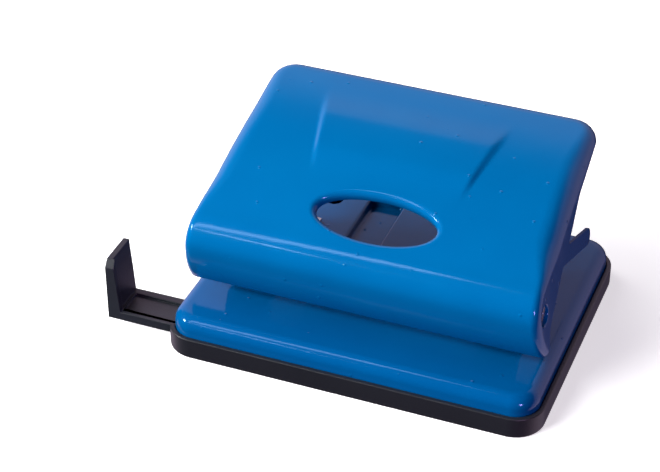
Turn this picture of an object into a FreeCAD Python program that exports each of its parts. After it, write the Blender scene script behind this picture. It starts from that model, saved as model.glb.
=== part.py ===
"""Two-hole desk paper punch: pressed-steel handle and base, moulded chip tray and sliding paper guide.

Frame, in millimetres: origin at the centre of the tray's footprint, on the surface it stands on.
+X runs along the punch, +Z is up, and paper goes in from the -Y side, under the handle.
"""
import FreeCAD, Part
import math
import os

V = FreeCAD.Vector

# ---- driving dimensions -------------------------------------------------------------------------

# chip tray
TRAY_LENGTH = 120.0
TRAY_DEPTH = 92.5
TRAY_HEIGHT = 7.0
TRAY_CORNER = 9.5
TRAY_WALL = 1.6
TRAY_FLOOR = 1.6
TRAY_FOOT_EDGE = 0.6            # small round where the floor meets the wall outside

# base plate, a pressed pan standing upside down in the tray
PLATE_TOP = 13.0
PLATE_SHEET = 1.0
PLATE_EDGE = 4.0                # outside radius between top and skirt
PLATE_FIT = 0.15                # gap between skirt and tray wall
BEAD_INNER = 10.8               # stiffening beads sunk into the top, one each side of the middle
BEAD_WIDTH = 11.2
BEAD_FRONT = 12.0
BEAD_LENGTH = 27.0
BEAD_DROP = 3.0
HANG_HOLE = 3.0                 # radius of the hole that the plate hangs by when it is enamelled
HANG_HOLE_X = 33.5
HANG_HOLE_Y = 33.5

# punching
HOLE_SPACING = 80.0
PAPER_MARGIN = 12.0             # hole centre to paper edge
PIN_RADIUS = 3.0
DIE_CLEARANCE = 0.05            # radial, pin in die
PIN_LEVER = 20.0                # pivot to pin, along Y
PAPER_GAP = 2.6                 # height of the slot for the paper

# pivot of the handle
PIVOT_Y = -29.6
PIVOT_Z = 34.0
ROD_RADIUS = 3.15
RUNNING_GAP = 0.05              # radial, shaft in hole
ROD_RECESS = 0.8                # rod end below the flange's outer face
COLLAR_DEPTH = 2.6              # hole collar drawn inwards from the flange's outer face
COLLAR_WALL = 1.3

# handle
HANDLE_SHEET = 1.0
HANDLE_HALF_WIDTH = 56.3        # at the height of HANDLE_WIDTH_Z
HANDLE_WIDTH_Z = 30.0
HANDLE_TAPER = 0.114            # half width lost for each millimetre of height
HANDLE_ROUND = 4.0              # bend between top sheet and sides, and along the ridge
HANDLE_REAR_CORNER = 8.0        # seen from above
STROKE_DEG = 18.0               # pressed down until the tongues nearly meet the base plate

# outer side profile of the handle as (y, z), from the rear over the ridge to the front edge
REAR_TOP = (36.8, 62.4)
TOP_MIDDLE = (0.0, 55.1)
SHOULDER_START = (-29.0, 43.6)
SHOULDER_MIDDLE = (-34.3, 40.2)
FRONT_BULGE = (-36.2, 35.0)
FRONT_MIDDLE = (-34.3, 26.8)
FRONT_EDGE = (-29.5, 18.5)
FLOOR_DROP = 6.0                # the space under the handle is taken this far below its front edge

# lower edge of the side flanges from front to rear, with the stop tongue between
FLANGE_FRONT = ((-28.2, 18.5), (-25.2, 27.0), (-17.0, 33.0), (-8.5, 39.0))
FLANGE_REAR = ((0.5, 44.0), (10.0, 50.8), (28.5, 56.4))
REAR_LIP_Z = 57.0
TONGUE_ROOT = (-6.0, 39.6)
TONGUE_TIP = (19.2, 30.8)
TONGUE_RADIUS = 2.7

# oval window in the handle
WINDOW_Y = -19.8
WINDOW_HALF_LENGTH = 19.0
WINDOW_HALF_HEIGHT = 7.9
WINDOW_FLARE = 1.6              # how much wider the rolled rim's mouth is, all round
WINDOW_FLARE_DEPTH = 1.4
WINDOW_RIM_DEPTH = 3.0

# brackets that carry the pins and the rod
BRACKET_SHEET = 1.5
BRACKET_WIDTH = 15.0
BRACKET_NOSE = 4.9              # radius of the cheek round the rod
BRACKET_TOP = 39.0
BRACKET_FRONT = -22.5           # front corner of the cheek over the paper slot
LEG_DEPTH = 9.0
FOOT_LENGTH = 8.2
UPPER_WEB_TOP = 29.5
WEB_REACH = 7.0                 # webs reach this far in front of and behind the pin
RIVET_RADIUS = 2.0
RIVET_HEAD = 3.4
RIVET_HEAD_HEIGHT = 1.2
RIVET_SPREAD = 7.4

# pins, springs and clips
PRESS_RADIUS = 9.0              # pressing face to pivot, and the radius of the pin's domed top
PRESS_GAP = 0.2
PIN_TIP_Z = 16.3
CLIP_THICKNESS = 0.8
CLIP_Z = 41.6
CLIP_GROOVE = 0.7               # depth of the grooves for the clips
CLIP_RING = 1.9                 # width of a clip's ring outside the groove's floor
CLIP_MOUTH_DEG = 70.0
WASHER_RADIUS = 5.0
WASHER_THICKNESS = 0.8
SPRING_WIRE = 0.45              # radius
SPRING_GAP = 0.55               # radial, pin to the coils
SPRING_TURNS = 5.0

# channels under the handle that push the pins
PRESS_WIDTH = 10.5
PRESS_LENGTH = 12.0
PRESS_SHEET = 1.5

# sliding paper guide
GUIDE_SETBACK = 6.25            # the guide's front edge behind the tray's front face
GUIDE_WIDTH = 13.5
GUIDE_BOTTOM = 3.0
GUIDE_THICKNESS = 3.0
GUIDE_LENGTH = 118.0
GUIDE_OUTER_X = -80.8
GUIDE_LIP = 1.3
GUIDE_GROOVE = 0.8
GUIDE_TOP = 24.6
GUIDE_RIB_DEPTH = 2.2           # front rib, along Y
GUIDE_RIB_TOP = 2.8
GUIDE_RIB_FOOT = 4.6
GUIDE_PLATE_TOP = 2.0
GUIDE_PLATE_FOOT = 3.6
GUIDE_CORNER = 2.5
GUIDE_GAP = 0.3
GUIDE_LUG = 2.0
STRAP_WIDTH = 6.0
STRAP_SHEET = 0.8
STRAP_GAP = 0.2
STRAP_PLACES = (-56.0, -41.5)   # left edges of the two straps
LEAF_SHEET = 0.4
LEAF_WIDTH = 6.0
LEAF_GAP = 0.1
LEAF_SIDE_GAP = 0.4
LEAF_TAB = 2.4
LEAF_SLOPE = 3.6
LEAF_TURN_UP = 0.8

# ---- sizes worked out from them -----------------------------------------------------------------

pin_y = PIVOT_Y + PIN_LEVER
stop_y = pin_y + PAPER_MARGIN
pin_x = HOLE_SPACING / 2
half_stroke = math.radians(STROKE_DEG / 2)
pin_travel = 2 * PIN_LEVER * math.tan(half_stroke)
press_z = PIVOT_Z + PRESS_RADIUS + PIN_LEVER * math.tan(half_stroke)
plate_under = PLATE_TOP - PLATE_SHEET
slot_top = PLATE_TOP + PAPER_GAP
plate_inset = TRAY_WALL + PLATE_FIT
plate_length = TRAY_LENGTH - 2 * plate_inset
plate_depth = TRAY_DEPTH - 2 * plate_inset
plate_corner = TRAY_CORNER - plate_inset
leg_rear = stop_y + LEG_DEPTH
guide_front = -TRAY_DEPTH / 2 + GUIDE_SETBACK
guide_rear = guide_front + GUIDE_WIDTH
guide_top_face = GUIDE_BOTTOM + GUIDE_THICKNESS
clip_hole = PIN_RADIUS - CLIP_GROOVE
spring_radius = PIN_RADIUS + SPRING_GAP + SPRING_WIRE
SIDES = (("left", -1), ("right", 1))


# ---- small helpers ------------------------------------------------------------------------------

def box(x0, x1, y0, y1, z0, z1):
    return Part.makeBox(x1 - x0, y1 - y0, z1 - z0, V(x0, y0, z0))


def rod(radius, start, length, direction):
    return Part.makeCylinder(radius, length, V(*start), V(*direction))


def fuse(first, *others):
    return first.multiFuse(list(others)).removeSplitter()


def cut(body, *tools):
    for tool in tools:
        body = body.cut(tool)
    return body


def plane_face(edges, x):
    """Face in the plane at x, from edges given as (y, z) points: two for a line, three for an arc."""
    made = []
    for points in edges:
        ends = [V(x, y, z) for y, z in points]
        if len(ends) == 2:
            made.append(Part.LineSegment(*ends).toShape())
        else:
            made.append(Part.Arc(*ends).toShape())
    return Part.Face(Part.Wire(made))


def side_prism(edges, x0, x1):
    return plane_face(edges, x0).extrude(V(x1 - x0, 0, 0))


def polygon(points):
    return list(zip(points, points[1:] + points[:1]))


def rounded_block(length, depth, z0, z1, corner):
    """Block centred on the origin with rounded upright edges."""
    block = box(-length / 2, length / 2, -depth / 2, depth / 2, z0, z1)
    upright = [e for e in block.Edges if abs(e.tangentAt(e.FirstParameter).z) > 0.9]
    return block.makeFillet(corner, upright)


def edges_at(shape, z):
    return [e for e in shape.Edges if abs(e.BoundBox.ZMin - z) < 1e-6 and abs(e.BoundBox.ZMax - z) < 1e-6]


def save(name, shape):
    print("%-24s solids %d  volume %9.2f  valid %s"
          % (name, len(shape.Solids), shape.Volume, shape.isValid()))
    shape.exportStep("parts/%s.step" % name)


# ---- chip tray ----------------------------------------------------------------------------------

def guide_notch(z0, z1):
    """Space for the paper guide through the left-hand end wall."""
    return box(-TRAY_LENGTH, -TRAY_LENGTH / 2 + TRAY_CORNER, guide_front - GUIDE_GAP,
               guide_rear + GUIDE_GAP, z0, z1)


def chip_tray():
    outside = rounded_block(TRAY_LENGTH, TRAY_DEPTH, 0, TRAY_HEIGHT, TRAY_CORNER)
    outside = outside.makeFillet(TRAY_FOOT_EDGE, edges_at(outside, 0))
    inside = rounded_block(TRAY_LENGTH - 2 * TRAY_WALL, TRAY_DEPTH - 2 * TRAY_WALL, TRAY_FLOOR,
                           TRAY_HEIGHT + 1, TRAY_CORNER - TRAY_WALL)
    return cut(outside, inside, guide_notch(GUIDE_BOTTOM - GUIDE_GAP, TRAY_HEIGHT + 1))


# ---- base plate ---------------------------------------------------------------------------------

def pan(inset, top):
    """Solid block with the plate's outline, drawn in by inset all round, closed at its foot."""
    block = rounded_block(plate_length - 2 * inset, plate_depth - 2 * inset,
                          TRAY_FLOOR - (1 if inset else 0), top, plate_corner - inset)
    return block.makeFillet(PLATE_EDGE - inset, edges_at(block, top))


def plate_inside():
    return pan(PLATE_SHEET, plate_under)


def bead(side, grow, z0, z1):
    x0 = side * BEAD_INNER
    x1 = side * (BEAD_INNER + BEAD_WIDTH)
    block = box(min(x0, x1) - grow, max(x0, x1) + grow, BEAD_FRONT - grow,
                BEAD_FRONT + BEAD_LENGTH + grow, z0, z1)
    upright = [e for e in block.Edges if abs(e.tangentAt(e.FirstParameter).z) > 0.9]
    return block.makeFillet(2.0 + grow, upright)


def rivet_places(side):
    y = leg_rear + FOOT_LENGTH / 2
    return [(side * pin_x - RIVET_SPREAD / 2, y), (side * pin_x + RIVET_SPREAD / 2, y)]


def base_plate():
    sheet = pan(0, PLATE_TOP).cut(plate_inside())
    troughs = [bead(side, PLATE_SHEET, PLATE_TOP - BEAD_DROP - PLATE_SHEET, PLATE_TOP - PLATE_SHEET / 2)
               for name, side in SIDES]
    sheet = fuse(sheet, *troughs)
    holes = [guide_notch(TRAY_FLOOR - 1, guide_top_face + GUIDE_GAP)]
    for name, side in SIDES:
        holes.append(bead(side, 0, PLATE_TOP - BEAD_DROP, PLATE_TOP + 1))
        holes.append(rod(PIN_RADIUS + DIE_CLEARANCE, (side * pin_x, pin_y, 0), 20, (0, 0, 1)))
        holes.append(rod(HANG_HOLE, (side * HANG_HOLE_X, HANG_HOLE_Y, 0), 20, (0, 0, 1)))
        for x, y in rivet_places(side):
            holes.append(rod(RIVET_RADIUS, (x, y, 0), 20, (0, 0, 1)))
    return cut(sheet, *holes)


# ---- brackets and their rivets ------------------------------------------------------------------

def cheek(x0, x1):
    """One side wall of a bracket: nose round the rod, paper slot under it, leg at the rear."""
    nose_top = (PIVOT_Y, PIVOT_Z + BRACKET_NOSE)
    nose_bottom = (PIVOT_Y, PIVOT_Z - BRACKET_NOSE)
    back = leg_rear
    outline = [
        [nose_top, (PIVOT_Y - BRACKET_NOSE, PIVOT_Z), nose_bottom],
        [nose_bottom, (BRACKET_FRONT, slot_top)],
        [(BRACKET_FRONT, slot_top), (stop_y, slot_top)],
        [(stop_y, slot_top), (stop_y, PLATE_TOP)],
        [(stop_y, PLATE_TOP), (back, PLATE_TOP)],
        [(back, PLATE_TOP), (back, BRACKET_TOP - LEG_DEPTH)],
        [(back, BRACKET_TOP - LEG_DEPTH), (back - LEG_DEPTH, BRACKET_TOP)],
        [(back - LEG_DEPTH, BRACKET_TOP), nose_top],
    ]
    wall = side_prism(outline, x0, x1)
    return wall.cut(rod(ROD_RADIUS + RUNNING_GAP, (x0 - 1, PIVOT_Y, PIVOT_Z), x1 - x0 + 2, (1, 0, 0)))


def bracket(side):
    xc = side * pin_x
    x0 = xc - BRACKET_WIDTH / 2
    x1 = xc + BRACKET_WIDTH / 2
    front = pin_y - WEB_REACH
    rear = pin_y + WEB_REACH
    lower_web = box(x0, x1, front, rear, slot_top, slot_top + BRACKET_SHEET)
    upper_web = box(x0, x1, front, rear, UPPER_WEB_TOP - BRACKET_SHEET, UPPER_WEB_TOP)
    back = box(x0, x1, leg_rear - BRACKET_SHEET, leg_rear, PLATE_TOP, UPPER_WEB_TOP)
    foot = box(x0, x1, leg_rear - BRACKET_SHEET, leg_rear + FOOT_LENGTH, PLATE_TOP,
               PLATE_TOP + BRACKET_SHEET)
    body = fuse(cheek(x0, x0 + BRACKET_SHEET), cheek(x1 - BRACKET_SHEET, x1), lower_web, upper_web,
                back, foot)
    holes = [rod(PIN_RADIUS + RUNNING_GAP, (xc, pin_y, PLATE_TOP), 30, (0, 0, 1))]
    for x, y in rivet_places(side):
        holes.append(rod(RIVET_RADIUS, (x, y, 0), 40, (0, 0, 1)))
    return cut(body, *holes)


def bracket_rivets(side):
    """Two rivets: shank through foot and plate, domed head above, upset end below."""
    made = []
    for x, y in rivet_places(side):
        top = PLATE_TOP + BRACKET_SHEET
        shank = rod(RIVET_RADIUS, (x, y, plate_under), top - plate_under, (0, 0, 1))
        ball_radius = (RIVET_HEAD ** 2 + RIVET_HEAD_HEIGHT ** 2) / (2 * RIVET_HEAD_HEIGHT)
        ball = Part.makeSphere(ball_radius, V(x, y, top + RIVET_HEAD_HEIGHT - ball_radius))
        head = rod(RIVET_HEAD, (x, y, top), RIVET_HEAD_HEIGHT, (0, 0, 1)).common(ball)
        tail = rod(RIVET_HEAD, (x, y, plate_under - 0.6), 0.6, (0, 0, 1))
        made.append(fuse(shank, head, tail))
    return Part.makeCompound(made)


# ---- punch pins, springs, washers and clips -----------------------------------------------------

def punch_pin(side):
    xc = side * pin_x
    top = press_z - PRESS_GAP
    pin = rod(PIN_RADIUS, (xc, pin_y, PIN_TIP_Z), top - PIN_TIP_Z, (0, 0, 1))
    pin = pin.common(Part.makeSphere(PRESS_RADIUS, V(xc, pin_y, top - PRESS_RADIUS)).fuse(
        rod(PIN_RADIUS + 1, (xc, pin_y, PIN_TIP_Z - 1), top - PRESS_RADIUS - PIN_TIP_Z + 1, (0, 0, 1))))
    groove = rod(PIN_RADIUS + 1, (xc, pin_y, CLIP_Z), CLIP_THICKNESS, (0, 0, 1)).cut(
        rod(clip_hole, (xc, pin_y, CLIP_Z), CLIP_THICKNESS, (0, 0, 1)))
    hollow = Part.makeCone(PIN_RADIUS - 0.3, 0.4, 2.2, V(xc, pin_y, PIN_TIP_Z), V(0, 0, 1))
    return cut(pin, groove, hollow)


def clip(hole, thickness):
    """Retaining clip about +Z at the origin: a ring with a mouth towards -Y."""
    ring = rod(hole + CLIP_RING, (0, 0, 0), thickness, (0, 0, 1)).cut(
        rod(hole, (0, 0, 0), thickness, (0, 0, 1)))
    reach = 3 * (hole + CLIP_RING)
    half = math.radians(CLIP_MOUTH_DEG / 2)
    corners = [V(0, 0, 0), V(-reach * math.sin(half), -reach * math.cos(half), 0),
               V(reach * math.sin(half), -reach * math.cos(half), 0), V(0, 0, 0)]
    mouth = Part.Face(Part.makePolygon(corners)).extrude(V(0, 0, thickness))
    return ring.cut(mouth)


def pin_clip(side):
    ring = clip(clip_hole, CLIP_THICKNESS)
    ring.translate(V(side * pin_x, pin_y, CLIP_Z))
    return ring


def spring_washer(side):
    place = (side * pin_x, pin_y, CLIP_Z - WASHER_THICKNESS)
    return rod(WASHER_RADIUS, place, WASHER_THICKNESS, (0, 0, 1)).cut(
        rod(PIN_RADIUS + RUNNING_GAP, place, WASHER_THICKNESS, (0, 0, 1)))


def return_spring(side):
    """Round wire wound on a helix between the bracket's upper web and the washer."""
    low = UPPER_WEB_TOP + SPRING_WIRE
    rise = CLIP_Z - WASHER_THICKNESS - SPRING_WIRE - low
    helix = Part.makeHelix(rise / SPRING_TURNS, rise, spring_radius)
    pitch_angle = math.atan(rise / SPRING_TURNS / (2 * math.pi * spring_radius))
    section = Part.Wire(Part.makeCircle(SPRING_WIRE, V(spring_radius, 0, 0),
                                        V(0, math.cos(pitch_angle), math.sin(pitch_angle))))
    wire = Part.Wire(helix.Edges).makePipeShell([section], True, True)
    wire.translate(V(side * pin_x, pin_y, low))
    return wire


# ---- pivot rod and its clips --------------------------------------------------------------------

def half_width(z):
    return HANDLE_HALF_WIDTH - HANDLE_TAPER * (z - HANDLE_WIDTH_Z)


def pivot_clip_x():
    return pin_x + BRACKET_WIDTH / 2 + 0.2


def pivot_rod():
    end = half_width(PIVOT_Z) - ROD_RECESS
    shaft = rod(ROD_RADIUS, (-end, PIVOT_Y, PIVOT_Z), 2 * end, (1, 0, 0))
    shaft = shaft.makeChamfer(0.4, shaft.Edges[:1] + shaft.Edges[2:])
    for name, side in SIDES:
        x0 = side * pivot_clip_x() - (CLIP_THICKNESS if side < 0 else 0)
        groove = rod(ROD_RADIUS + 1, (x0, PIVOT_Y, PIVOT_Z), CLIP_THICKNESS, (1, 0, 0)).cut(
            rod(ROD_RADIUS - CLIP_GROOVE, (x0, PIVOT_Y, PIVOT_Z), CLIP_THICKNESS, (1, 0, 0)))
        shaft = shaft.cut(groove)
    return shaft


def pivot_clip(side):
    ring = clip(ROD_RADIUS - CLIP_GROOVE, CLIP_THICKNESS)
    ring.rotate(V(0, 0, 0), V(0, 1, 0), 90)
    ring.rotate(V(0, 0, 0), V(1, 0, 0), 180)
    x0 = side * pivot_clip_x() - (CLIP_THICKNESS if side < 0 else 0)
    ring.translate(V(x0, PIVOT_Y, PIVOT_Z))
    return ring


# ---- handle -------------------------------------------------------------------------------------

def profile_edges():
    """Outline of the space under the top sheet: rear face, top, shoulder, front, and a floor below."""
    floor = FRONT_EDGE[1] - FLOOR_DROP
    return [
        [(REAR_TOP[0], floor), REAR_TOP],
        [REAR_TOP, TOP_MIDDLE, SHOULDER_START],
        [SHOULDER_START, SHOULDER_MIDDLE, FRONT_BULGE],
        [FRONT_BULGE, FRONT_MIDDLE, FRONT_EDGE],
        [FRONT_EDGE, (FRONT_EDGE[0], floor)],
        [(FRONT_EDGE[0], floor), (REAR_TOP[0], floor)],
    ]


def bends_down(block, edge):
    """True for an edge between the top sheet and a side, a rear corner or the rear face."""
    sheet_faces = 0
    for face in block.ancestorsOfType(edge, Part.Face):
        u0, u1, v0, v1 = face.ParameterRange
        normal = face.normalAt((u0 + u1) / 2, (v0 + v1) / 2)
        upright = abs(normal.y) > 0.999 or abs(normal.z) > 0.999
        sheet_faces += abs(normal.x) < 1e-3 and not upright
    along_front = edge.BoundBox.YMax < 0 and edge.BoundBox.XLength > HANDLE_HALF_WIDTH
    return sheet_faces == 1 and not along_front


def body_under(inset):
    """Solid under the top sheet between its sloping sides, drawn in all round by inset."""
    reach = HANDLE_HALF_WIDTH + 10
    profile = plane_face(profile_edges(), -reach)
    if inset:
        profile = profile.makeOffset2D(-inset, 2)
    block = profile.extrude(V(2 * reach, 0, 0))
    low_z = 0.0
    high_z = 80.0
    low = half_width(low_z) - inset
    high = half_width(high_z) - inset
    corners = [V(-low, -100, low_z), V(low, -100, low_z), V(high, -100, high_z), V(-high, -100, high_z),
               V(-low, -100, low_z)]
    block = block.common(Part.Face(Part.makePolygon(corners)).extrude(V(0, 200, 0)))
    rear = [e for e in block.Edges
            if e.BoundBox.YMin > REAR_TOP[0] - inset - 0.1 and e.BoundBox.ZLength > HANDLE_REAR_CORNER]
    block = block.makeFillet(HANDLE_REAR_CORNER - inset, rear)
    return block.makeFillet(HANDLE_ROUND - inset, [e for e in block.Edges if bends_down(block, e)])


def handle_inside():
    return body_under(HANDLE_SHEET)


def kept_side():
    """Everything above the flanges' lower edge, with the stop tongue."""
    high = 90.0
    far = 60.0
    lower = [(-far, FRONT_EDGE[1])] + list(FLANGE_FRONT) + list(FLANGE_REAR) + [(far, REAR_LIP_Z)]
    above = side_prism(polygon(lower + [(far, high), (-far, high)]), -far - 10, far + 10)
    root = V(0, *TONGUE_ROOT)
    tip = V(0, *TONGUE_TIP)
    along = (tip - root).normalize()
    across = V(0, -along.z, along.y) * TONGUE_RADIUS
    corners = [root + across, tip + across, tip - across, root - across]
    tongue = side_prism(polygon([(c.y, c.z) for c in corners]), -far - 10, far + 10)
    round_tip = rod(TONGUE_RADIUS, (-far - 10, tip.y, tip.z), 2 * far + 20, (1, 0, 0))
    return fuse(above, tongue, round_tip)


def window_frame():
    """Centre of the window on the sheet's outer face, and the direction into the handle."""
    top_arc = Part.Arc(*[V(0, *p) for p in (REAR_TOP, TOP_MIDDLE, SHOULDER_START)]).toShape()
    line = Part.LineSegment(V(0, WINDOW_Y, 0), V(0, WINDOW_Y, 100)).toShape()
    crossing = top_arc.distToShape(line)[1][0][0]
    inward = (top_arc.Curve.Center - crossing).normalize()
    return crossing, inward


def oval(centre, inward, depth, grow):
    """Oval wire at a depth below the sheet's outer face."""
    across = inward.cross(V(1, 0, 0))
    middle = centre + inward * depth
    shape = Part.Ellipse(middle + V(WINDOW_HALF_LENGTH + grow, 0, 0),
                         middle + across * (WINDOW_HALF_HEIGHT + grow), middle)
    return Part.Wire(shape.toShape())


def oval_prism(centre, inward, start, end, grow):
    return Part.Face(oval(centre, inward, start, grow)).extrude(inward * (end - start))


def handle():
    outside = body_under(0)
    shell = outside.cut(handle_inside()).common(kept_side())
    centre, inward = window_frame()
    rim = oval_prism(centre, inward, -2, WINDOW_RIM_DEPTH, HANDLE_SHEET).common(outside)
    collars = []
    for name, side in SIDES:
        far = half_width(PIVOT_Z) + 2
        collar = rod(ROD_RADIUS + RUNNING_GAP + COLLAR_WALL, (side * far, PIVOT_Y, PIVOT_Z),
                     COLLAR_DEPTH + 2, (-side, 0, 0))
        collars.append(collar.common(outside))
    shell = fuse(shell, rim, *collars)
    mouth = 0.5
    flare = Part.makeLoft([oval(centre, inward, -mouth, WINDOW_FLARE * (1 + mouth / WINDOW_FLARE_DEPTH)),
                           oval(centre, inward, WINDOW_FLARE_DEPTH, 0.0)], True, True)
    through = oval_prism(centre, inward, -3, WINDOW_RIM_DEPTH + 3, 0)
    reach = HANDLE_HALF_WIDTH + 10
    bore = rod(ROD_RADIUS + RUNNING_GAP, (-reach, PIVOT_Y, PIVOT_Z), 2 * reach, (1, 0, 0))
    return cut(shell, flare, through, bore)


def press_channel(side, inside):
    """Bent channel welded under the handle: its floor pushes the pin, its walls meet the sheet."""
    xc = side * pin_x
    half = PRESS_WIDTH / 2
    y0 = -PRESS_LENGTH / 2
    y1 = PRESS_LENGTH / 2
    tall = 20.0
    floor = box(-half, half, y0, y1, 0, PRESS_SHEET)
    walls = [box(-half, -half + PRESS_SHEET, y0, y1, 0, tall), box(half - PRESS_SHEET, half, y0, y1, 0, tall)]
    channel = fuse(floor, *walls)
    channel.rotate(V(0, 0, 0), V(1, 0, 0), STROKE_DEG / 2)
    channel.translate(V(xc, pin_y, press_z))
    return channel.common(inside)


# ---- sliding paper guide ------------------------------------------------------------------------

def tapered_wall(y0, y1, foot, head, corner):
    """Upright wall at the guide's outer end, thicker at its foot, with a bevelled front corner."""
    x0 = GUIDE_OUTER_X
    corners = [V(x0, y0, GUIDE_BOTTOM), V(x0 + foot, y0, GUIDE_BOTTOM), V(x0 + head, y0, GUIDE_TOP),
               V(x0, y0, GUIDE_TOP), V(x0, y0, GUIDE_BOTTOM)]
    wall = Part.Face(Part.makePolygon(corners)).extrude(V(0, y1 - y0, 0))
    bevel = polygon([(guide_front, GUIDE_TOP - corner), (guide_front, GUIDE_TOP),
                     (guide_front + corner * 0.7, GUIDE_TOP)])
    return wall.cut(side_prism(bevel, x0 - 1, x0 + foot + 1))


def paper_guide():
    x0 = GUIDE_OUTER_X
    x1 = x0 + GUIDE_LENGTH
    bar = box(x0, x1, guide_front, guide_rear, GUIDE_BOTTOM, guide_top_face)
    trough = box(x0 + GUIDE_RIB_FOOT, x1 - GUIDE_LIP, guide_front + GUIDE_LIP, guide_rear - 2 * GUIDE_LIP,
                 guide_top_face - GUIDE_GROOVE, guide_top_face + 1)
    bar = bar.cut(trough)
    rib = tapered_wall(guide_front, guide_front + GUIDE_RIB_DEPTH, GUIDE_RIB_FOOT, GUIDE_RIB_TOP, GUIDE_CORNER)
    plate = tapered_wall(guide_front, guide_rear, GUIDE_PLATE_FOOT, GUIDE_PLATE_TOP, GUIDE_CORNER)
    lug = box(x1 - GUIDE_LUG, x1, guide_front + GUIDE_LIP, guide_rear - GUIDE_LIP,
              GUIDE_BOTTOM - STRAP_GAP - STRAP_SHEET, GUIDE_BOTTOM)
    return fuse(bar, rib, plate, lug)


def guide_strap(x0, inside):
    """U strap under the plate that carries the guide's bar, its legs welded to the plate."""
    y0 = guide_front - STRAP_GAP
    y1 = guide_rear + STRAP_GAP
    z0 = GUIDE_BOTTOM - STRAP_GAP
    block = box(x0, x0 + STRAP_WIDTH, y0 - STRAP_SHEET, y1 + STRAP_SHEET, z0 - STRAP_SHEET, PLATE_TOP)
    room = box(x0 - 1, x0 + STRAP_WIDTH + 1, y0, y1, z0, PLATE_TOP + 1)
    return block.cut(room).common(inside)


def guide_leaf_spring():
    """Leaf spot-welded under the plate between the straps: its belly keeps the guide where it is set."""
    x0 = STRAP_PLACES[0] + STRAP_WIDTH + LEAF_SIDE_GAP
    y0 = guide_front + (GUIDE_WIDTH - LEAF_WIDTH) / 2
    tab_z = plate_under - LEAF_SHEET / 2
    belly_z = guide_top_face + LEAF_GAP + LEAF_SHEET / 2
    line = [(x0, tab_z), (x0 + LEAF_TAB, tab_z), (x0 + LEAF_TAB + LEAF_SLOPE, belly_z),
            (x0 + LEAF_TAB + LEAF_SLOPE + LEAF_TURN_UP, belly_z + LEAF_TURN_UP)]
    wire = Part.makePolygon([V(x, y0, z) for x, z in line])
    face = wire.makeOffset2D(LEAF_SHEET / 2, 0, True, True)
    return face.extrude(V(0, LEAF_WIDTH, 0))


# ---- build --------------------------------------------------------------------------------------

def main():
    os.makedirs("parts", exist_ok=True)
    save("chip_tray", chip_tray())
    save("base_plate", base_plate())
    save("pivot_rod", pivot_rod())
    save("handle", handle())
    save("paper_guide", paper_guide())
    under_plate = plate_inside()
    save("outer_guide_strap", guide_strap(STRAP_PLACES[0], under_plate))
    save("inner_guide_strap", guide_strap(STRAP_PLACES[1], under_plate))
    save("guide_leaf_spring", guide_leaf_spring())
    under_handle = handle_inside()
    for name, side in SIDES:
        save(name + "_bracket", bracket(side))
        save(name + "_bracket_rivets", bracket_rivets(side))
        save(name + "_punch_pin", punch_pin(side))
        save(name + "_pin_clip", pin_clip(side))
        save(name + "_spring_washer", spring_washer(side))
        save(name + "_return_spring", return_spring(side))
        save(name + "_pivot_clip", pivot_clip(side))
        save(name + "_press_channel", press_channel(side, under_handle))
    print("pin travel %.3f mm, coupling %.6f m/rad" % (pin_travel, pin_travel / 1000 / math.radians(STROKE_DEG)))


main()
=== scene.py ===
"""Looks of a two-hole desk paper punch: enamelled handle and base plate, black chip tray, sliding guide."""
import math

import bmesh
import bpy
import numpy as np
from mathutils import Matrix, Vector


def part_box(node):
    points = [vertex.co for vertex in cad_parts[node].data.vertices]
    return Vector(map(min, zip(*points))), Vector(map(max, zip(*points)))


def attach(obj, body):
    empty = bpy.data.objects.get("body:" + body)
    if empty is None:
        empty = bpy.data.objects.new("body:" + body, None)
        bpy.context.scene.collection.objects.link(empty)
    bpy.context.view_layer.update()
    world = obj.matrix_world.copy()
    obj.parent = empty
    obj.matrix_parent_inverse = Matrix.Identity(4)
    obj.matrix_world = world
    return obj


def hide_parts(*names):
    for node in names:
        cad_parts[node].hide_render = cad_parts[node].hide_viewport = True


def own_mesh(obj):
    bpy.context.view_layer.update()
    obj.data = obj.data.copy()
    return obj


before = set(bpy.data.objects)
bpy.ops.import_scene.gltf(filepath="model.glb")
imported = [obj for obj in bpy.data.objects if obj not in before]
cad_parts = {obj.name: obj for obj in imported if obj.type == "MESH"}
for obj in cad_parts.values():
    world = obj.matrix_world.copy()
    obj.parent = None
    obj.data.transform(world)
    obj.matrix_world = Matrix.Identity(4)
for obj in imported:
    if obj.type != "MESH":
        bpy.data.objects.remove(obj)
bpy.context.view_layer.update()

# ---- camera, floor and lights -------------------------------------------------------------------
# The punch stands on a pale sheet in a dark studio, lit by large soft boxes from the left. It is seen
# from the front right and above through a long lens, so its two ends are nearly the same size.

LENS_MM = 108.78
CAMERA_TURN = math.radians(21.19)       # to the right of the punch's front
CAMERA_RAISE = math.radians(35.13)
CAMERA_ROLL = math.radians(0.11)
CAMERA_DISTANCE = 0.6322
LOOK_RIGHT = -0.02055                   # where the view's centre passes the origin
LOOK_UP = 0.02328
FLOOR_COLOUR = "F4F4F4"
FLOOR_REACH = 3.0
FLOOR_GLOW = 0.6                        # keeps the shadows on the sheet pale
ROOM_AXIS = (0.0, -0.9, 0.436)          # the room is brightest low behind the table, away from this
ROOM_FILL = 0.12                        # share of the room's light that matt surfaces get
# The room's colour against the cosine of the angle from ROOM_AXIS.
ROOM_SHADES = ((-1.0, "16121C"), (-0.94, "40344C"), (-0.86, "AC9CBC"), (-0.6, "F4DCF6"), (-0.24, "F0D4EC"),
               (-0.1, "6A5E74"), (-0.01, "221C2C"), (0.08, "060608"))


def linear(colour, alpha=1.0):
    """Linear RGBA of an sRGB hex value."""
    parts = [int(colour[i:i + 2], 16) / 255 for i in (0, 2, 4)]
    return [c / 12.92 if c <= 0.04045 else ((c + 0.055) / 1.055) ** 2.4 for c in parts] + [alpha]


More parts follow.
